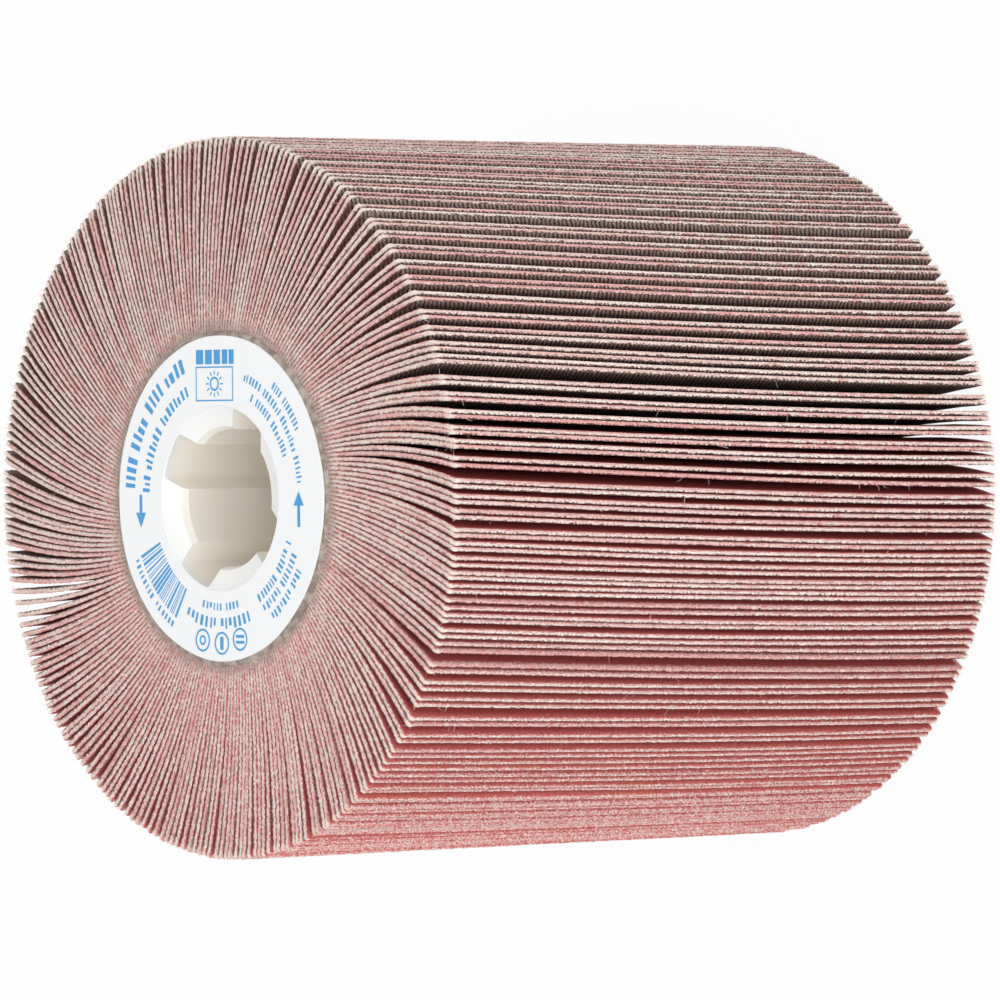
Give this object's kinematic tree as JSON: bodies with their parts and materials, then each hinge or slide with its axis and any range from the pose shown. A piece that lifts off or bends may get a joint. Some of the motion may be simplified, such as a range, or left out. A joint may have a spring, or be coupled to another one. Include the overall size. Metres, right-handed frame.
{
  "type": "flap wheel",
  "caption": "Drum-shaped flap wheel of abrasive cloth flaps in a resin core, on a white moulded hub with a keyed through bore and a printed ring label.",
  "frame": {"origin": "on the wheel's axis, in the plane of the plain end that it stands on", "axes": "+Z along the wheel's axis, from the plain end to the labelled end; +X and +Y through the middles of two keyways"},
  "size_m": [0.1, 0.1, 0.1008],
  "materials": {
    "hub_plastic": "satin",
    "abrasive_cloth": "matte",
    "label_paper": "satin"
  },
  "bodies": {
    "root": {"hub": "hub_plastic", "flap_pack": "abrasive_cloth", "label_ring": "label_paper"}
  },
  "joints": []
}
